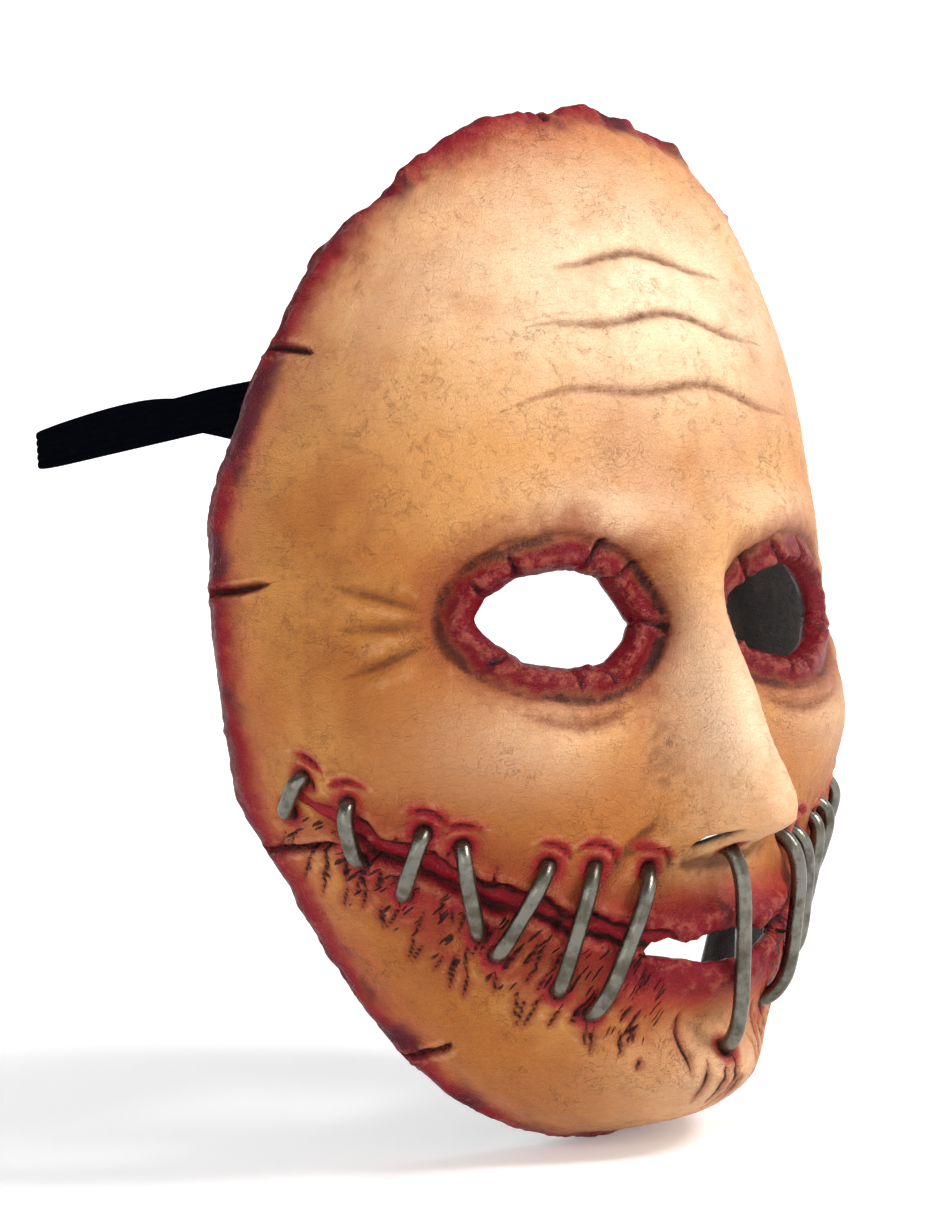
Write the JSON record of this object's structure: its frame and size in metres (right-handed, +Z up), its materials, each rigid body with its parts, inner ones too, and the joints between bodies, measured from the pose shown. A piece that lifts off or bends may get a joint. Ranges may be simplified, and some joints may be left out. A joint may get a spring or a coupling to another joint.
{
  "type": "latex halloween mask",
  "caption": "Full-face latex costume mask with open eyes, wire staples across a mouth seam and an elastic head strap.",
  "frame": {"origin": "on the eye line, midway between the temples, in the plane of the temples' torn edge, where the wearer's face goes in", "axes": "+Z up to the crown, the mask looks along -Y, +Y points out of the open back, the wearer's right is -X"},
  "size_m": [0.174, 0.2555, 0.245],
  "materials": {
    "latex": "satin cast latex, painted and sealed",
    "staple_wire": "dulled steel wire with a brown-green wash",
    "elastic": "black ribbed braided elastic",
    "tab": "matt cast latex patch"
  },
  "bodies": {
    "mask": {"latex_face": "latex", "staple_centre": "staple_wire", "staple_right_1": "staple_wire", "staple_right_2": "staple_wire", "staple_right_3": "staple_wire", "staple_right_4": "staple_wire", "staple_right_5": "staple_wire", "staple_right_6": "staple_wire", "staple_right_7": "staple_wire", "staple_left_1": "staple_wire", "staple_left_2": "staple_wire", "staple_left_3": "staple_wire", "staple_left_4": "staple_wire", "staple_left_5": "staple_wire", "staple_left_6": "staple_wire", "staple_left_7": "staple_wire", "strap_tab_right": "tab", "strap_tab_left": "tab", "strap_end_right": "elastic", "strap_end_left": "elastic"},
    "strap": {"elastic_strap": "elastic"}
  },
  "joints": [
    {"name": "strap_swing", "type": "hinge", "parent": "mask", "child": "strap", "pos_m": [0, 0.00361, 0.05677], "axis": [1, 0, 0], "range_deg": [-60, 75], "stiffness_Nm_per_rad": 0.05, "springref_deg": 5.16}
  ]
}
